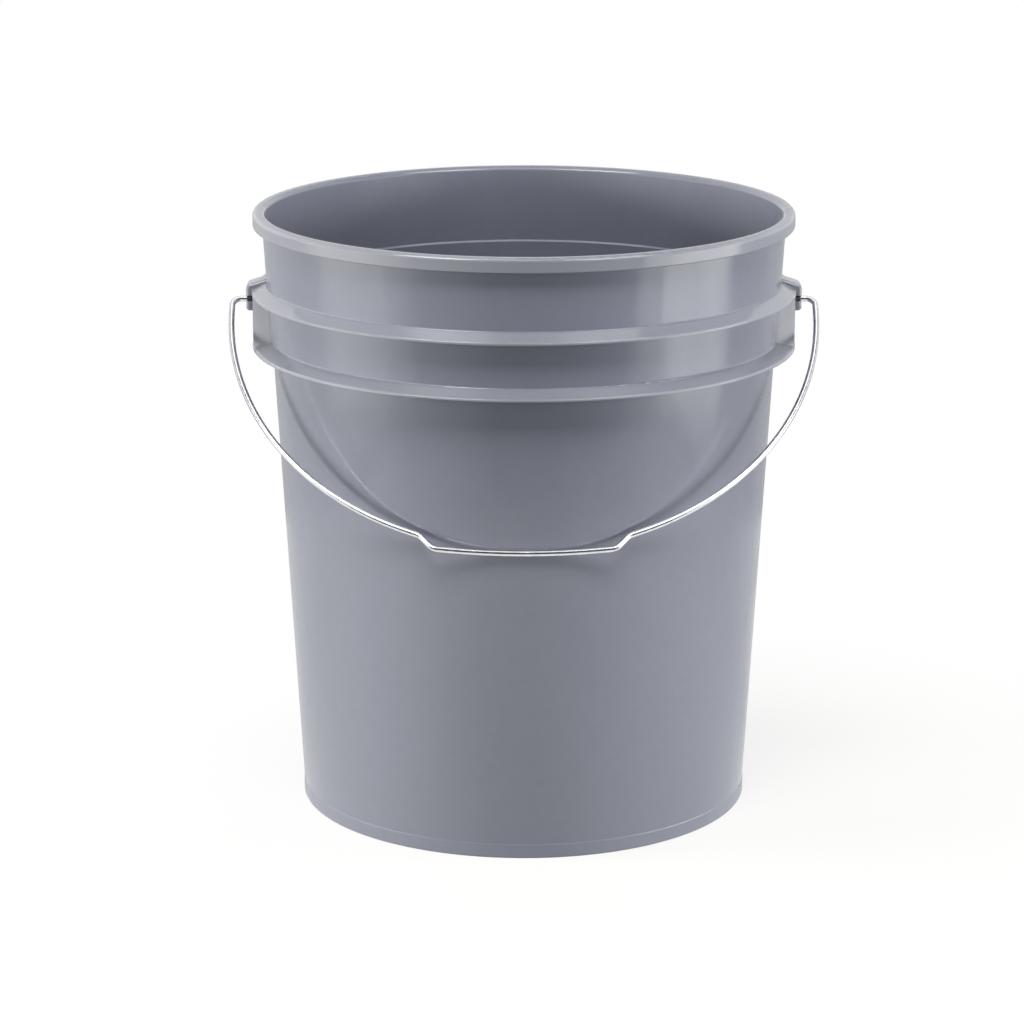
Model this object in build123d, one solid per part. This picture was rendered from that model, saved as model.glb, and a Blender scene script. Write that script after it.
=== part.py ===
from build123d import *
import os
from math import acos, asin, atan, cos, degrees, hypot, radians, sin, sqrt, tan

# Open-top moulded pail with a wire bail that swings in two moulded ears.
# Millimetres, +Z up, origin on the standing surface at the pail's axis.
# The ears lie on the X axis, and the bail hangs down in front, towards -Y.

# Wall and floor
HEIGHT = 344.6          # standing surface to the top of the rim
BASE_RADIUS = 128.9     # outside of the wall, drawn on to the standing surface
TOP_RADIUS = 148.2      # outside of the lower wall, drawn on to the top of the rim
WALL = 2.4
COLLAR_STEP = 1.0       # how far the wall steps out above the lower ring
LEDGE_DROP = 44.6       # top of the rim to the inner ledge, where the inside steps out too
FLOOR = 2.8             # floor thickness
FLOOR_FILLET = 7.0      # inner corner between floor and wall

# Foot
FOOT_BAND = 7.8         # height of the raised band at the bottom of the wall
FOOT_PROUD = 0.25       # how far the band stands out from the wall
FOOT_WIDTH = 5.0        # width of the ring that the pail stands on
FOOT_RECESS = 3.0       # floor's underside above the standing surface
FOOT_ROUND = 1.0        # rounding of the foot's outer edge

# Rim, a lip turned down outside the wall
RIM_PROJECTION = 4.9    # lip's outside beyond the collar
RIM_DEPTH = 8.2         # top of the rim to the lip's lower edge
RIM_SKIRT = 2.2         # thickness of the turned-down lip
RIM_TOP = 2.4           # thickness of the rim above the lip's channel
RIM_OUTER_ROUND = 2.4
RIM_INNER_ROUND = 3.0
LIP_ROUND = 0.8         # lip's lower edges and channel corners

# Two flange rings under the rim
UPPER_RING_DROP = 47.0  # top of the rim to the upper ring's lower edge
LOWER_RING_DROP = 77.7  # top of the rim to the lower ring's lower edge
RING_PROJECTION = 7.1   # rings' outside beyond the lower wall drawn on to the top
RING_THICK = 1.5        # height of the rings' edges
UPPER_RING_SLOPE = 27.0  # degrees that the upper ring's top falls outwards
LOWER_RING_SLOPE = 19.0  # degrees that the lower ring's top falls outwards
RING_TAPER = 8.0        # degrees between a ring's top and its underside
RING_FILLET = 1.0       # above a ring, against the wall
RING_UNDER_FILLET = 0.8

# Ears between the rings
EAR_INSET = 0.3         # ear's outside within the rings' edges
EAR_HALF = 20.0         # middle of the ear to its side's outer edge
EAR_TURN = 28.0         # degrees that the ear's sides spread towards the wall
EAR_PLATE = 2.6         # side plates of the ear
BOSS_HALF = 8.0         # middle of the ear to the boss's side
BOSS_PROUD = 3.2        # boss beyond the rings' edges
BOSS_ABOVE = 9.2        # pivot to the boss's top at its outer end
BOSS_BELOW = 5.6        # pivot to the boss's bottom
BOSS_SLOPE = 17.0       # degrees that the boss's top falls outwards
BOSS_TOP_ROUND = 3.0
BOSS_LOW_ROUND = 2.2
BOSS_EDGE_ROUND = 1.8
PIVOT_DROP = 5.4        # upper ring's lower edge to the bail's pivot
SOCKET_BACK = 1.5       # material between the collar and the socket's blind end
SLOT_HEIGHT = 3.0       # snap-in slot from the boss's front into the socket
SLOT_TILT = 12.0        # degrees that the slot climbs towards the front

# Wire bail
WIRE = 3.4              # wire diameter
SOCKET_CLEARANCE = 0.08  # wire to socket, all round
END_CLEARANCE = 1.0     # wire's end to the socket's blind end
BAIL_STANDOFF = 8.1     # boss to the middle of the wire beside it
BEND_RADIUS = 5.0       # bend outside each ear, at the wire's middle
ARM_DROP = 6.5          # straight run between each bend and its arm's round
ARM_END = 63.5          # middle of the bail to where each arm's round ends
JOG_RUN = 7.0           # straight run on each side of the jog, to its corners
JOG_ROUND = 8.0
GRIP_HALF = 49.8        # middle of the grip to the jog's lower corner
GRIP_RISE = 1.0         # jog's lower corner above the lowest point of the arms' round
GRIP_RADIUS = 380.0     # bow of the grip
REST_CLEARANCE = 0.3    # bail to the wall at rest
CONTACT_STEPS = 240     # points along the bail tested against the wall

# Sizes that follow
DRAFT = (TOP_RADIUS - BASE_RADIUS) / HEIGHT
RIM_RADIUS = TOP_RADIUS + COLLAR_STEP + RIM_PROJECTION
RING_RADIUS = TOP_RADIUS + RING_PROJECTION
UPPER_RING = HEIGHT - UPPER_RING_DROP
LOWER_RING = HEIGHT - LOWER_RING_DROP
RING_EDGE_ROUND = 0.8 * RING_THICK
RING_LOWER_ROUND = 0.15 * RING_THICK
EAR_RADIUS = RING_RADIUS - EAR_INSET
BOSS_END = RING_RADIUS + BOSS_PROUD
PIVOT_Z = UPPER_RING - PIVOT_DROP
BAIL_HALF = BOSS_END + BAIL_STANDOFF
ARM_DEPTH = BEND_RADIUS + ARM_DROP


def wall_radius(z):
    """Outside radius of the wall at a height."""
    return BASE_RADIUS + DRAFT * z


def collar_radius(z):
    """Outside radius of the wall above the lower ring at a height."""
    return wall_radius(z) + COLLAR_STEP


def ring_root(edge_z, slope, step):
    """Point that a ring's face, falling outwards to edge_z, meets on the wall stepped out by step."""
    fall = tan(radians(slope))
    z = (edge_z + (RING_RADIUS - BASE_RADIUS - step) * fall) / (1 + DRAFT * fall)
    return wall_radius(z) + step, z


def ring_outline(edge_z, slope, step_below):
    """Corners of one ring from its underside over its edge to its top, each with a rounding."""
    under = ring_root(edge_z, slope - RING_TAPER, step_below)
    top = ring_root(edge_z + RING_THICK, slope, COLLAR_STEP)
    return [
        (*under, RING_UNDER_FILLET),
        (RING_RADIUS, edge_z, RING_LOWER_ROUND),
        (RING_RADIUS, edge_z + RING_THICK, RING_EDGE_ROUND),
        (*top, RING_FILLET),
    ]


def foot_outline():
    """Underside and foot, from the axis to the wall."""
    outside = wall_radius(FOOT_BAND) + FOOT_PROUD
    inside = outside - FOOT_WIDTH
    step = FOOT_BAND + 2 * FOOT_PROUD
    return [
        (0, FOOT_RECESS, 0),
        (inside, FOOT_RECESS, 0),
        (inside, 0, 0),
        (outside, 0, FOOT_ROUND),
        (outside, FOOT_BAND, 0),
        (wall_radius(step), step, 0),
    ]


def rim_outline():
    """Turned-down lip, from the wall outside over the top to the wall inside."""
    channel_top = HEIGHT - RIM_TOP
    lip_end = HEIGHT - RIM_DEPTH
    lip_inside = RIM_RADIUS - RIM_SKIRT
    return [
        (collar_radius(channel_top), channel_top, LIP_ROUND),
        (lip_inside, channel_top, LIP_ROUND),
        (lip_inside, lip_end, LIP_ROUND),
        (RIM_RADIUS, lip_end, LIP_ROUND),
        (RIM_RADIUS, HEIGHT, RIM_OUTER_ROUND),
        (collar_radius(HEIGHT) - WALL, HEIGHT, RIM_INNER_ROUND),
    ]


def inside_outline():
    """Inner ledge, wall and floor, from the rim back to the axis."""
    ledge = HEIGHT - LEDGE_DROP
    below = ledge - COLLAR_STEP
    floor_top = FOOT_RECESS + FLOOR
    return [
        (collar_radius(ledge) - WALL, ledge, 0),
        (wall_radius(below) - WALL, below, 0),
        (wall_radius(floor_top) - WALL, floor_top, FLOOR_FILLET),
        (0, floor_top, 0),
    ]


def make_shell():
    """Everything round about the axis: foot, wall, rings, rim and floor."""
    outline = foot_outline() + ring_outline(LOWER_RING, LOWER_RING_SLOPE, 0)
    outline += ring_outline(UPPER_RING, UPPER_RING_SLOPE, COLLAR_STEP)
    outline += rim_outline() + inside_outline()
    points = [(r, z) for r, z, _ in outline]
    roundings = [rounding for _, _, rounding in outline]
    profile = make_face(FilletPolyline(*points, radius=roundings, close=True))
    return revolve(Plane.XZ * profile, Axis.Z)


def ring_middle(r, edge_z, slope):
    """Height of a ring's middle surface at a radius."""
    return edge_z + RING_THICK / 2 + (RING_RADIUS - r) * tan(radians(slope - RING_TAPER / 2))


def make_web():
    """Band that fills the space between the two rings, out to the ears' outside."""
    inner = wall_radius(LOWER_RING) - WALL / 2
    outline = [
        (inner, ring_middle(inner, LOWER_RING, LOWER_RING_SLOPE)),
        (EAR_RADIUS, ring_middle(EAR_RADIUS, LOWER_RING, LOWER_RING_SLOPE)),
        (EAR_RADIUS, ring_middle(EAR_RADIUS, UPPER_RING, UPPER_RING_SLOPE)),
        (inner, ring_middle(inner, UPPER_RING, UPPER_RING_SLOPE)),
    ]
    return revolve(Plane.XZ * make_face(Polyline(*outline, close=True)), Axis.Z)


def make_ribs():
    """Post behind the boss and two spread side plates for the +X ear, long enough to pass the web."""
    length = EAR_RADIUS - BASE_RADIUS
    post_align = (Align.MAX, Align.CENTER, Align.MIN)
    ribs = Pos(RING_RADIUS, 0, 0) * Box(length, 2 * BOSS_HALF, HEIGHT, align=post_align)
    for side, inward in ((-1, Align.MIN), (1, Align.MAX)):
        corner = (sqrt(EAR_RADIUS ** 2 - EAR_HALF ** 2), side * EAR_HALF, 0)
        plate = Box(2 * length, EAR_PLATE, HEIGHT, align=(Align.CENTER, inward, Align.MIN))
        ribs += Pos(*corner) * Rot(Z=-side * EAR_TURN) * plate
    return ribs


def make_boss():
    """Boss on the +X ear, running out from the wall past the rings' edges."""
    inner = wall_radius(PIVOT_Z) - WALL
    low = PIVOT_Z - BOSS_BELOW
    high = PIVOT_Z + BOSS_ABOVE
    crown = high + (BOSS_END - inner) * tan(radians(BOSS_SLOPE))
    side = FilletPolyline(
        (inner, low), (BOSS_END, low), (BOSS_END, high), (inner, crown),
        radius=[0, BOSS_LOW_ROUND, BOSS_TOP_ROUND, 0], close=True,
    )
    block = extrude(Plane.XZ * make_face(side), BOSS_HALF, both=True)
    sides = block.edges().filter_by(Plane.XZ).sort_by(Axis.X)
    outer = [edge for edge in sides if edge.center().X > inner + WALL]
    return fillet(outer, BOSS_EDGE_ROUND)


def make_sockets():
    """Blind holes for the wire's ends, each with its snap-in slot to the front."""
    start = collar_radius(PIVOT_Z) + SOCKET_BACK
    length = BOSS_END - start + BOSS_PROUD
    hole = Cylinder(WIRE / 2 + SOCKET_CLEARANCE, length, rotation=(0, 90, 0))
    slot_align = (Align.CENTER, Align.MAX, Align.CENTER)
    slot = Rot(X=-SLOT_TILT) * Box(length, 2 * BOSS_HALF, SLOT_HEIGHT, align=slot_align)
    socket = Pos(start + length / 2, 0, PIVOT_Z) * (hole + slot)
    return socket + mirror(socket, Plane.YZ)


def make_pail():
    """Shell with both ears, less the sockets."""
    ribs = make_ribs()
    ears = make_web() & (ribs + mirror(ribs, Plane.YZ))
    boss = make_boss()
    ears += [boss, mirror(boss, Plane.YZ)]
    core = Cone(BASE_RADIUS - WALL / 2, TOP_RADIUS - WALL / 2, HEIGHT,
                align=(Align.CENTER, Align.CENTER, Align.MIN))
    return make_shell() + (ears - core) - make_sockets()


def grip_angle():
    """Half of the angle that the bowed grip turns through."""
    return asin(GRIP_HALF / hypot(GRIP_RADIUS, JOG_RUN)) - atan(JOG_RUN / GRIP_RADIUS)


def grip_corner_depth():
    """Depth of the jog's lower corner below the pivot, in the bail's plane."""
    return ARM_DEPTH + BAIL_HALF - GRIP_RISE


def grip_depth():
    """Depth of the grip's middle below the pivot, in the bail's plane."""
    turn = grip_angle()
    return grip_corner_depth() + JOG_RUN * sin(turn) + GRIP_RADIUS * (1 - cos(turn))


def make_bail_path():
    """Middle of the wire, drawn flat with the pivot on the X axis and the grip towards -Y."""
    end = collar_radius(PIVOT_Z) + SOCKET_BACK + END_CLEARANCE
    bend_start = BAIL_HALF - BEND_RADIUS
    bend = CenterArc((bend_start, -BEND_RADIUS), BEND_RADIUS, 0, 90)
    drop = Line((BAIL_HALF, -BEND_RADIUS), (BAIL_HALF, -ARM_DEPTH))
    sweep_angle = acos(ARM_END / BAIL_HALF)
    arm = CenterArc((0, -ARM_DEPTH), BAIL_HALF, 0, -degrees(sweep_angle))
    arm_end = Vector(ARM_END, -ARM_DEPTH - BAIL_HALF * sin(sweep_angle))
    upper_corner = arm_end + Vector(-sin(sweep_angle), -cos(sweep_angle)) * JOG_RUN
    lower_corner = Vector(GRIP_HALF, -grip_corner_depth())
    turn = grip_angle()
    grip_end = lower_corner - Vector(cos(turn), sin(turn)) * JOG_RUN
    jog = FilletPolyline(arm_end, upper_corner, lower_corner, grip_end, radius=[JOG_ROUND, JOG_ROUND])
    half = [Line((end, 0), (bend_start, 0)), bend, drop, arm, jog]
    grip = ThreePointArc(grip_end, (0, -grip_depth()), (-grip_end.X, grip_end.Y))
    edges = [edge for piece in half for edge in piece.edges()]
    mirrored = [edge.mirror(Plane.YZ) for edge in edges]
    return Wire(edges + grip.edges() + mirrored)


def contact_angle(point):
    """Angle forward of straight down, in degrees, at which a point of the flat path meets the wall.

    A point that passes beside the wall meets it at no angle and gives straight down.
    """
    depth = -point.Y
    slant = sqrt(1 + DRAFT ** 2)
    reach = wall_radius(PIVOT_Z) + (WIRE / 2 + REST_CLEARANCE) * slant
    lean = reach * DRAFT * depth
    room = point.X ** 2 + depth ** 2 - reach ** 2
    touch = (lean + sqrt(lean ** 2 + (depth * slant) ** 2 * room)) / (depth * slant) ** 2
    return degrees(acos(min(touch, 1)))


def rest_angle(path):
    """Angle of the hanging bail forward of straight down, in degrees, where it first meets the wall."""
    points = [path @ (step / CONTACT_STEPS) for step in range(CONTACT_STEPS + 1)]
    return max(contact_angle(point) for point in points if -point.Y > BAIL_HALF / 2)


def make_bail():
    """Wire swept along its path and hung at rest in front of the wall."""
    path = make_bail_path()
    section = Plane(origin=path @ 0, z_dir=path % 0) * Circle(WIRE / 2)
    flat = sweep(section, path=path)
    return Pos(0, 0, PIVOT_Z) * Rot(X=90 - rest_angle(path)) * flat


os.makedirs("parts", exist_ok=True)
export_step(make_pail(), "parts/pail_body.step")
export_step(make_bail(), "parts/wire_bail.step")
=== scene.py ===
import bpy
from math import radians
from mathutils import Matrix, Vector

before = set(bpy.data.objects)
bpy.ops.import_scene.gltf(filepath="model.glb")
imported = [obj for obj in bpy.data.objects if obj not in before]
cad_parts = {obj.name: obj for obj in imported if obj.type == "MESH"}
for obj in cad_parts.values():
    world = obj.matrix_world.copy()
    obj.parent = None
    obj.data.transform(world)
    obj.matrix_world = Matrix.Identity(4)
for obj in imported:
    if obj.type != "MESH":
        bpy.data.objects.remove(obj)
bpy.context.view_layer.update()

# Lengths are in metres, angles in degrees, lamp powers in watts. Colours are linear.

# Camera
CAMERA_PLACE = (-0.00678, -1.9925, 0.6927)
CAMERA_TILT = 75.189
CAMERA_LENS = 124.6
SENSOR_WIDTH = 36

# Pail's wall: its outside radius at the standing surface, and the growth per metre of height
WALL_FOOT = 0.1289
WALL_SPREAD = 0.056

# Pail's rim: middles of its inner and outer rounding, each as radius and height,
# and how far above these middles the roundings begin
RIM_INNER = (0.14964, 0.3416)
RIM_OUTER = (0.1517, 0.3422)
RIM_TANGENT = 0.00017

# Noises, and the range that most of their values lie in
CLOUDS = {"scale": 9, "detail": 4, "stretch": (1, 1, 0.5), "distortion": 0.4}
GRAIN = {"scale": 160, "detail": 2}
SMEARS = {"scale": 34, "detail": 5, "stretch": (1, 1, 0.4), "distortion": 0.8}
WAVES = {"scale": 16, "detail": 3, "stretch": (1, 1, 0.6)}
RIPPLES = {"scale": 55, "detail": 3, "stretch": (1, 1, 0.5)}
PEEL = {"scale": 420, "detail": 2}
SPANGLES = {"scale": 240, "detail": 3}
DRAWING_MARKS = {"scale": 300, "detail": 2}
NOISE_RANGE = (0.3, 0.7)
SMEAR_RANGE = (0.35, 0.65)

# Plastic: its colour and how the clouds and the grain vary it
PLASTIC = (0.163, 0.177, 0.226)
CLOUD_TONE = (0.965, 1.035)
GRAIN_TONE = (-0.015, 0.015)

# Plastic's wear and painted light: a paler, greyer colour on the parts that stand out (rim, rings,
# ears), partly wear and partly painted light from above and painted highlights; where it starts and
# is full, as distances out from the wall, and how strong it is
WORN_AND_LIT_PLASTIC = (0.214, 0.226, 0.268)
WEAR_AND_LIGHT_RANGE = (0.0014, 0.0024)
WEAR_AND_LIGHT_STRENGTH = (0.7, 1.0)

# Plastic's gloss: the smears' roughness, what the scuffed foot band adds, and where the band ends
PLASTIC_IOR = 1.70
SMEAR_ROUGHNESS = (0.10, 0.24)
SCUFF_ROUGHNESS = 0.18
SCUFF_RANGE = (0.0083, 0.0086)

# Plastic's relief
WAVE_HEIGHT = 0.0005
RIPPLE_HEIGHT = 0.00016
PEEL_HEIGHT = 0.00001

# Wire
ZINC = (0.78, 0.79, 0.81)
SPANGLE_TONE = (0.90, 1.06)
SPANGLE_ROUGHNESS = (0.18, 0.26)
MARK_HEIGHT = 0.000004

# Lamp colours
WHITE = (1.0, 1.0, 1.0)
SOFT_WHITE = (1.0, 0.99, 0.97)
WARM_WHITE = (1.0, 0.985, 0.95)
IVORY = (1.0, 0.98, 0.94)
PALE_CREAM = (1.0, 0.97, 0.90)
CREAM = (1.0, 0.95, 0.85)

# What a lamp does: it lights the pail, shows in its gloss, or both
LIGHT = "light"
GLOSS = "gloss"
BOTH = "both"

# Points that lamps face
PAIL_AIM = (0, 0, 0.25)
STRIP_AIM = (0, 0, 0.24)
CARD_AIM = (0, 0, 0.3)

# Lamps: place, point they face, size across and up, power, colour and what they do
LAMPS = {
    "key": ((0, -1.30, 2.50), PAIL_AIM, (1.5, 0.8), 65, WARM_WHITE, LIGHT),
    "left_softbox": ((-2.475, -0.15, 0.47), PAIL_AIM, (1.2, 0.4), 97, CREAM, LIGHT),
    "right_softbox": ((2.475, -0.15, 0.47), PAIL_AIM, (1.2, 0.4), 60, PALE_CREAM, LIGHT),
    "left_fill": ((-1.660, -1.844, 0.56), PAIL_AIM, (1.2, 0.4), 8, WARM_WHITE, LIGHT),
    "right_fill": ((1.660, -1.844, 0.56), PAIL_AIM, (1.2, 0.4), 10, WARM_WHITE, LIGHT),
    "back_left": ((-1.6, 1.9, 0.7), PAIL_AIM, (1.2, 0.8), 20, IVORY, LIGHT),
    "back_right": ((1.6, 1.9, 0.7), PAIL_AIM, (1.2, 0.8), 20, IVORY, LIGHT),
    "left_strip": ((-0.76, -0.20, 0.24), STRIP_AIM, (0.5, 0.42), 0.75, SOFT_WHITE, BOTH),
    "right_strip": ((0.76, -0.20, 0.24), STRIP_AIM, (0.5, 0.42), 1.5, SOFT_WHITE, BOTH),
    "left_strip_end": ((-0.6435, -0.5085, 0.24), STRIP_AIM, (0.17, 0.42), 0.12, SOFT_WHITE, BOTH),
    "right_strip_end": ((0.6435, -0.5085, 0.24), STRIP_AIM, (0.17, 0.42), 0.25, SOFT_WHITE, BOTH),
    "left_card": ((-2.4, -0.42, 1.10), CARD_AIM, (2.4, 1.6), 7, WHITE, GLOSS),
    "right_card": ((2.4, -0.42, 1.10), CARD_AIM, (2.4, 1.6), 7, WHITE, GLOSS),
    "high_left": ((-1.136, -1.136, 2.165), PAIL_AIM, (1.2, 0.9), 28, WHITE, GLOSS),
    "high_right": ((1.136, -1.136, 2.165), PAIL_AIM, (1.2, 0.9), 20, WHITE, GLOSS),
    "top_card": ((0, -0.562, 2.686), PAIL_AIM, (3.0, 2.2), 28, WHITE, GLOSS),
}

# World: its level as light, its level towards the back in reflections, and the directions between
WORLD_LEVEL = 0.06
WORLD_BACK = 0.95
WORLD_TURN = (-0.1, 0.5)

# Floor: its size, finish, and colours as the camera sees it and as it throws light back
FLOOR_SIZE = 40
FLOOR_ROUGHNESS = 0.9
FLOOR_SPECULAR = 0.1
FLOOR_SEEN = (0.68, 0.68, 0.68)
FLOOR_LIGHT = (0.06, 0.06, 0.06)

# Floor seen by the camera: its share of white, by the distance from a point in the pail's shadow
FADE_CENTRE = (0.13, -0.04, 0.0)
FADE_RANGE = (0.12, 0.36)
FADE_WHITE = (0.72, 1.0)

# Floor in reflections: a white sheet around the pail, less white at the back,
# and beyond it a front, two sides and a back, parted by slanting lines
SHEET_EDGE = (0.62, 0.74)
SHEET_LEVELS = (1.0, 0.75)
SHEET_TURN = (-0.1, 0.1)
PARTING_SLOPE = 0.8
FRONT_TO_SIDE = (-0.05, 0.05)
FRONT_AND_SIDE_LEVELS = (0.20, 0.40)
SIDE_TO_BACK = (-0.1, 0.1)
BACK_LEVEL = 0.50


class Nodes:
    """Short ways to add nodes to one node tree."""

    def __init__(self, tree):
        self.tree = tree

    def add(self, kind, **values):
        node = self.tree.nodes.new(kind)
        for key, value in values.items():
            setattr(node, key, value)
        return node

    def feed(self, socket, value):
        """Links another node's output to a socket, or sets a constant on it."""
        if isinstance(value, bpy.types.NodeSocket):
            self.tree.links.new(value, socket)
        else:
            socket.default_value = value

    def place(self, kind="Object"):
        return self.add("ShaderNodeTexCoord").outputs[kind]

    def noise(self, scale, detail, stretch=(1, 1, 1), distortion=0.0):
        mapping = self.add("ShaderNodeMapping")
        self.feed(mapping.inputs["Vector"], self.place())
        self.feed(mapping.inputs["Scale"], stretch)
        texture = self.add("ShaderNodeTexNoise")
        self.feed(texture.inputs["Vector"], mapping.outputs["Vector"])
        self.feed(texture.inputs["Scale"], scale)
        self.feed(texture.inputs["Detail"], detail)
        self.feed(texture.inputs["Distortion"], distortion)
        return texture.outputs["Fac"]

    def spread(self, value, source, target):
        """Maps a range of values to another one, and stops at its ends."""
        node = self.add("ShaderNodeMapRange")
        self.feed(node.inputs["Value"], value)
        self.feed(node.inputs["From Min"], source[0])
        self.feed(node.inputs["From Max"], source[1])
        self.feed(node.inputs["To Min"], target[0])
        self.feed(node.inputs["To Max"], target[1])
        return node.outputs["Result"]

    def math(self, operation, *values):
        node = self.add("ShaderNodeMath", operation=operation)
        for socket, value in zip(node.inputs, values):
            self.feed(socket, value)
        return node.outputs["Value"]

    def vector(self, operation, *values):
        node = self.add("ShaderNodeVectorMath", operation=operation)
        for socket, value in zip(node.inputs, values):
            self.feed(socket, value)
        return node.outputs["Value" if operation in ("LENGTH", "DISTANCE") else "Vector"]

    def scaled(self, vector, factor):
        """A vector or colour times a factor."""
        node = self.add("ShaderNodeVectorMath", operation="SCALE")
        self.feed(node.inputs[0], vector)
        self.feed(node.inputs["Scale"], factor)
        return node.outputs["Vector"]

    def split(self, vector):
        node = self.add("ShaderNodeSeparateXYZ")
        self.feed(node.inputs["Vector"], vector)
        return node.outputs["X"], node.outputs["Y"], node.outputs["Z"]

    def joined(self, x=0.0, y=0.0, z=0.0):
        node = self.add("ShaderNodeCombineXYZ")
        for name, value in (("X", x), ("Y", y), ("Z", z)):
            self.feed(node.inputs[name], value)
        return node.outputs["Vector"]

    def mix(self, kind, factor, first, second):
        node = self.add("ShaderNodeMix", data_type=kind)
        self.feed(node.inputs["Factor"], factor)
        self.feed(node.inputs["A"], first)
        self.feed(node.inputs["B"], second)
        return node.outputs["Result"]

    def bump(self, height, distance, under=None):
        """A normal from heights, laid over another normal if one is given."""
        node = self.add("ShaderNodeBump")
        self.feed(node.inputs["Height"], height)
        self.feed(node.inputs["Distance"], distance)
        if under is not None:
            self.feed(node.inputs["Normal"], under)
        return node.outputs["Normal"]


def new_material(name):
    """A material, its nodes and the sockets of its shader."""
    material = bpy.data.materials.new(name)
    material.use_nodes = True
    tree = material.node_tree
    return material, Nodes(tree), tree.nodes["Principled BSDF"].inputs


def rim_normal(n, flat, radius, height):
    """The true normal on the rim's roundings, where the mesh is coarse, or else the mesh's."""
    (inner, inner_height), (outer, outer_height) = RIM_INNER, RIM_OUTER
    middle = n.spread(radius, (inner, outer), (inner, outer))
    middle_height = n.spread(radius, (inner, outer), (inner_height, outer_height))
    above = n.math("SUBTRACT", height, middle_height)
    outwards = n.scaled(n.vector("NORMALIZE", flat), n.math("SUBTRACT", radius, middle))
    true = n.vector("NORMALIZE", n.vector("ADD", outwards, n.joined(z=above)))
    mesh = n.add("ShaderNodeNewGeometry").outputs["Normal"]
    _, _, facing_up = n.split(mesh)
    high = n.math("GREATER_THAN", above, RIM_TANGENT)
    rounded = n.math("MULTIPLY", high, n.math("GREATER_THAN", facing_up, 0.0))
    return n.mix("VECTOR", rounded, mesh, true)


def plastic():
    """Glossy moulded polyethylene: clouded, wavy, smeared, and paler where it stands out, partly
    from wear and partly as painted light from above.
    """
    material, n, shader = new_material("pail_plastic")
    x, y, height = n.split(n.place())
    flat = n.joined(x, y)
    radius = n.vector("LENGTH", flat)

    clouds = n.noise(**CLOUDS)
    grain = n.spread(n.noise(**GRAIN), NOISE_RANGE, GRAIN_TONE)
    tone = n.math("ADD", n.spread(clouds, NOISE_RANGE, CLOUD_TONE), grain)
    wall = n.math("ADD", n.math("MULTIPLY", height, WALL_SPREAD), WALL_FOOT)
    proud = n.spread(n.math("SUBTRACT", radius, wall), WEAR_AND_LIGHT_RANGE, (0.0, 1.0))
    worn_and_lit = n.math("MULTIPLY", proud, n.spread(clouds, NOISE_RANGE, WEAR_AND_LIGHT_STRENGTH))
    # Painted light: parts that stand out from the wall get a paler, greyer colour, partly real wear
    # and partly painted light from above and painted highlights on the ring faces.
    colour = n.mix("RGBA", worn_and_lit, n.scaled(PLASTIC, tone), (*WORN_AND_LIT_PLASTIC, 1))
    n.feed(shader["Base Color"], colour)

    smears = n.spread(n.noise(**SMEARS), SMEAR_RANGE, SMEAR_ROUGHNESS)
    scuff = n.spread(height, SCUFF_RANGE, (SCUFF_ROUGHNESS, 0.0))
    n.feed(shader["Roughness"], n.math("ADD", smears, scuff))
    n.feed(shader["IOR"], PLASTIC_IOR)

    normal = rim_normal(n, flat, radius, height)
    for noise, depth in ((WAVES, WAVE_HEIGHT), (RIPPLES, RIPPLE_HEIGHT), (PEEL, PEEL_HEIGHT)):
        normal = n.bump(n.noise(**noise), depth, under=normal)
    n.feed(shader["Normal"], normal)
    return material


def wire():
    """Bright drawn zinc on steel: fine dull spangles and shallow drawing marks."""
    material, n, shader = new_material("bail_wire")
    spangles = n.noise(**SPANGLES)
    n.feed(shader["Base Color"], n.scaled(ZINC, n.spread(spangles, NOISE_RANGE, SPANGLE_TONE)))
    n.feed(shader["Roughness"], n.spread(spangles, NOISE_RANGE, SPANGLE_ROUGHNESS))
    n.feed(shader["Metallic"], 1.0)
    n.feed(shader["Normal"], n.bump(n.noise(**DRAWING_MARKS), MARK_HEIGHT))
    return material


def dress(node, material):
    """Gives a CAD node its finished material."""
    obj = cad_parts[node]
    obj.data.materials.clear()
    obj.data.materials.append(material)


def floor_in_gloss(n, place):
    """How bright the floor shows in reflections: a sheet around the pail, and the room beyond."""
    x, y, _ = n.split(place)
    near = n.spread(n.vector("LENGTH", place), SHEET_EDGE, (1.0, 0.0))
    sheet = n.math("MULTIPLY", near, n.spread(y, SHEET_TURN, SHEET_LEVELS))
    parting = n.math("MULTIPLY", n.math("ABSOLUTE", x), PARTING_SLOPE)
    room = n.spread(n.math("ADD", y, parting), FRONT_TO_SIDE, FRONT_AND_SIDE_LEVELS)
    back = n.spread(n.math("SUBTRACT", y, parting), SIDE_TO_BACK, (0.0, BACK_LEVEL))
    return n.math("MAXIMUM", n.math("MAXIMUM", sheet, back), room)


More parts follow.
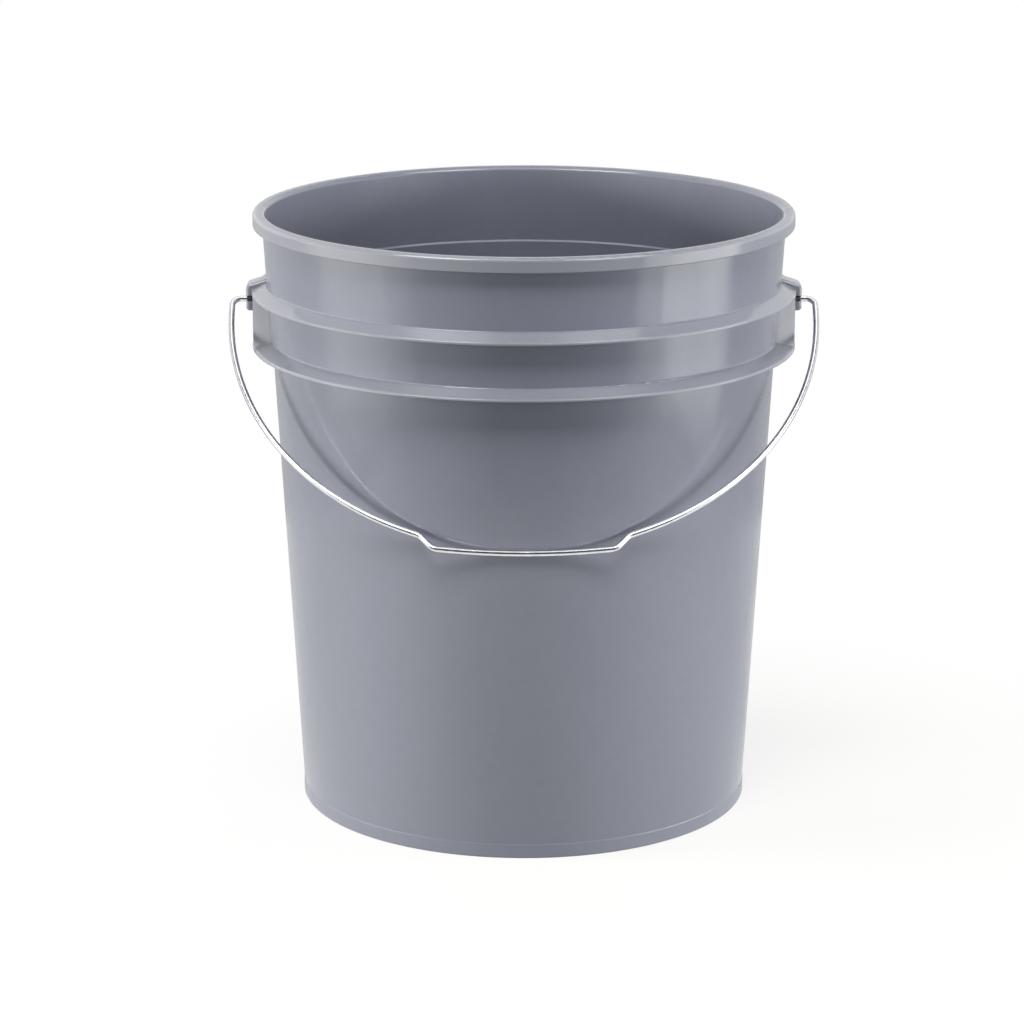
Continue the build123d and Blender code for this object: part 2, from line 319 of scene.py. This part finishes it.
def make_floor():
    """Wide floor that keeps the pail's shadow, fades to white around it and is pale in gloss."""
    bpy.ops.mesh.primitive_plane_add(size=FLOOR_SIZE, location=(0, 0, 0))
    floor = bpy.context.object
    floor.name = "floor"
    material, n, shader = new_material("floor")
    path = n.add("ShaderNodeLightPath")
    camera = path.outputs["Is Camera Ray"]
    glossy = path.outputs["Is Glossy Ray"]
    n.feed(shader["Roughness"], FLOOR_ROUGHNESS)
    n.feed(shader["Specular IOR Level"], FLOOR_SPECULAR)
    n.feed(shader["Base Color"], n.mix("RGBA", camera, (*FLOOR_LIGHT, 1), (*FLOOR_SEEN, 1)))

    place = n.place()
    white = n.add("ShaderNodeEmission")
    mirrored = n.math("MULTIPLY", glossy, floor_in_gloss(n, place))
    n.feed(white.inputs["Strength"], n.math("ADD", camera, mirrored))
    fade = n.spread(n.vector("DISTANCE", place, FADE_CENTRE), FADE_RANGE, FADE_WHITE)

    mixed = n.add("ShaderNodeMixShader")
    n.feed(mixed.inputs["Fac"], n.math("ADD", n.math("MULTIPLY", camera, fade), glossy))
    n.feed(mixed.inputs[1], n.tree.nodes["Principled BSDF"].outputs["BSDF"])
    n.feed(mixed.inputs[2], white.outputs["Emission"])
    n.feed(n.tree.nodes["Material Output"].inputs["Surface"], mixed.outputs["Shader"])
    floor.data.materials.append(material)


def make_world():
    """White to the camera, a dim even room as light, and a room with a pale back in reflections."""
    world = bpy.data.worlds.new("studio")
    bpy.context.scene.world = world
    world.use_nodes = True
    n = Nodes(world.node_tree)
    _, backwards, _ = n.split(n.place("Generated"))
    back = n.spread(backwards, WORLD_TURN, (WORLD_LEVEL, WORLD_BACK))
    path = n.add("ShaderNodeLightPath")
    mirrored = n.math("MULTIPLY", path.outputs["Is Glossy Ray"], back)
    seen = n.math("MAXIMUM", path.outputs["Is Camera Ray"], mirrored)
    background = n.tree.nodes["Background"].inputs
    n.feed(background["Color"], (1, 1, 1, 1))
    n.feed(background["Strength"], n.math("MAXIMUM", seen, WORLD_LEVEL))


def make_lamps():
    """Boxes that light the pail, strips close to its sides, and cards that only show in gloss."""
    for name, (place, facing, size, watts, colour, task) in LAMPS.items():
        data = bpy.data.lights.new(name, "AREA")
        data.shape = "RECTANGLE"
        data.size, data.size_y = size
        data.energy = watts
        data.color = colour
        lamp = bpy.data.objects.new(name, data)
        lamp.visible_glossy = task in (GLOSS, BOTH)
        lamp.visible_diffuse = task in (LIGHT, BOTH)
        lamp.location = place
        direction = Vector(facing) - Vector(place)
        lamp.rotation_euler = direction.to_track_quat("-Z", "Y").to_euler()
        bpy.context.scene.collection.objects.link(lamp)


def make_camera():
    """Long lens, a little above the pail's rim."""
    data = bpy.data.cameras.new("camera")
    data.lens = CAMERA_LENS
    data.sensor_width = SENSOR_WIDTH
    camera = bpy.data.objects.new("camera", data)
    camera.location = CAMERA_PLACE
    camera.rotation_euler = (radians(CAMERA_TILT), 0, 0)
    bpy.context.scene.collection.objects.link(camera)
    bpy.context.scene.camera = camera


dress("pail_body", plastic())
dress("wire_bail", wire())
make_floor()
make_world()
make_lamps()
make_camera()
bpy.context.scene.view_settings.view_transform = "Standard"
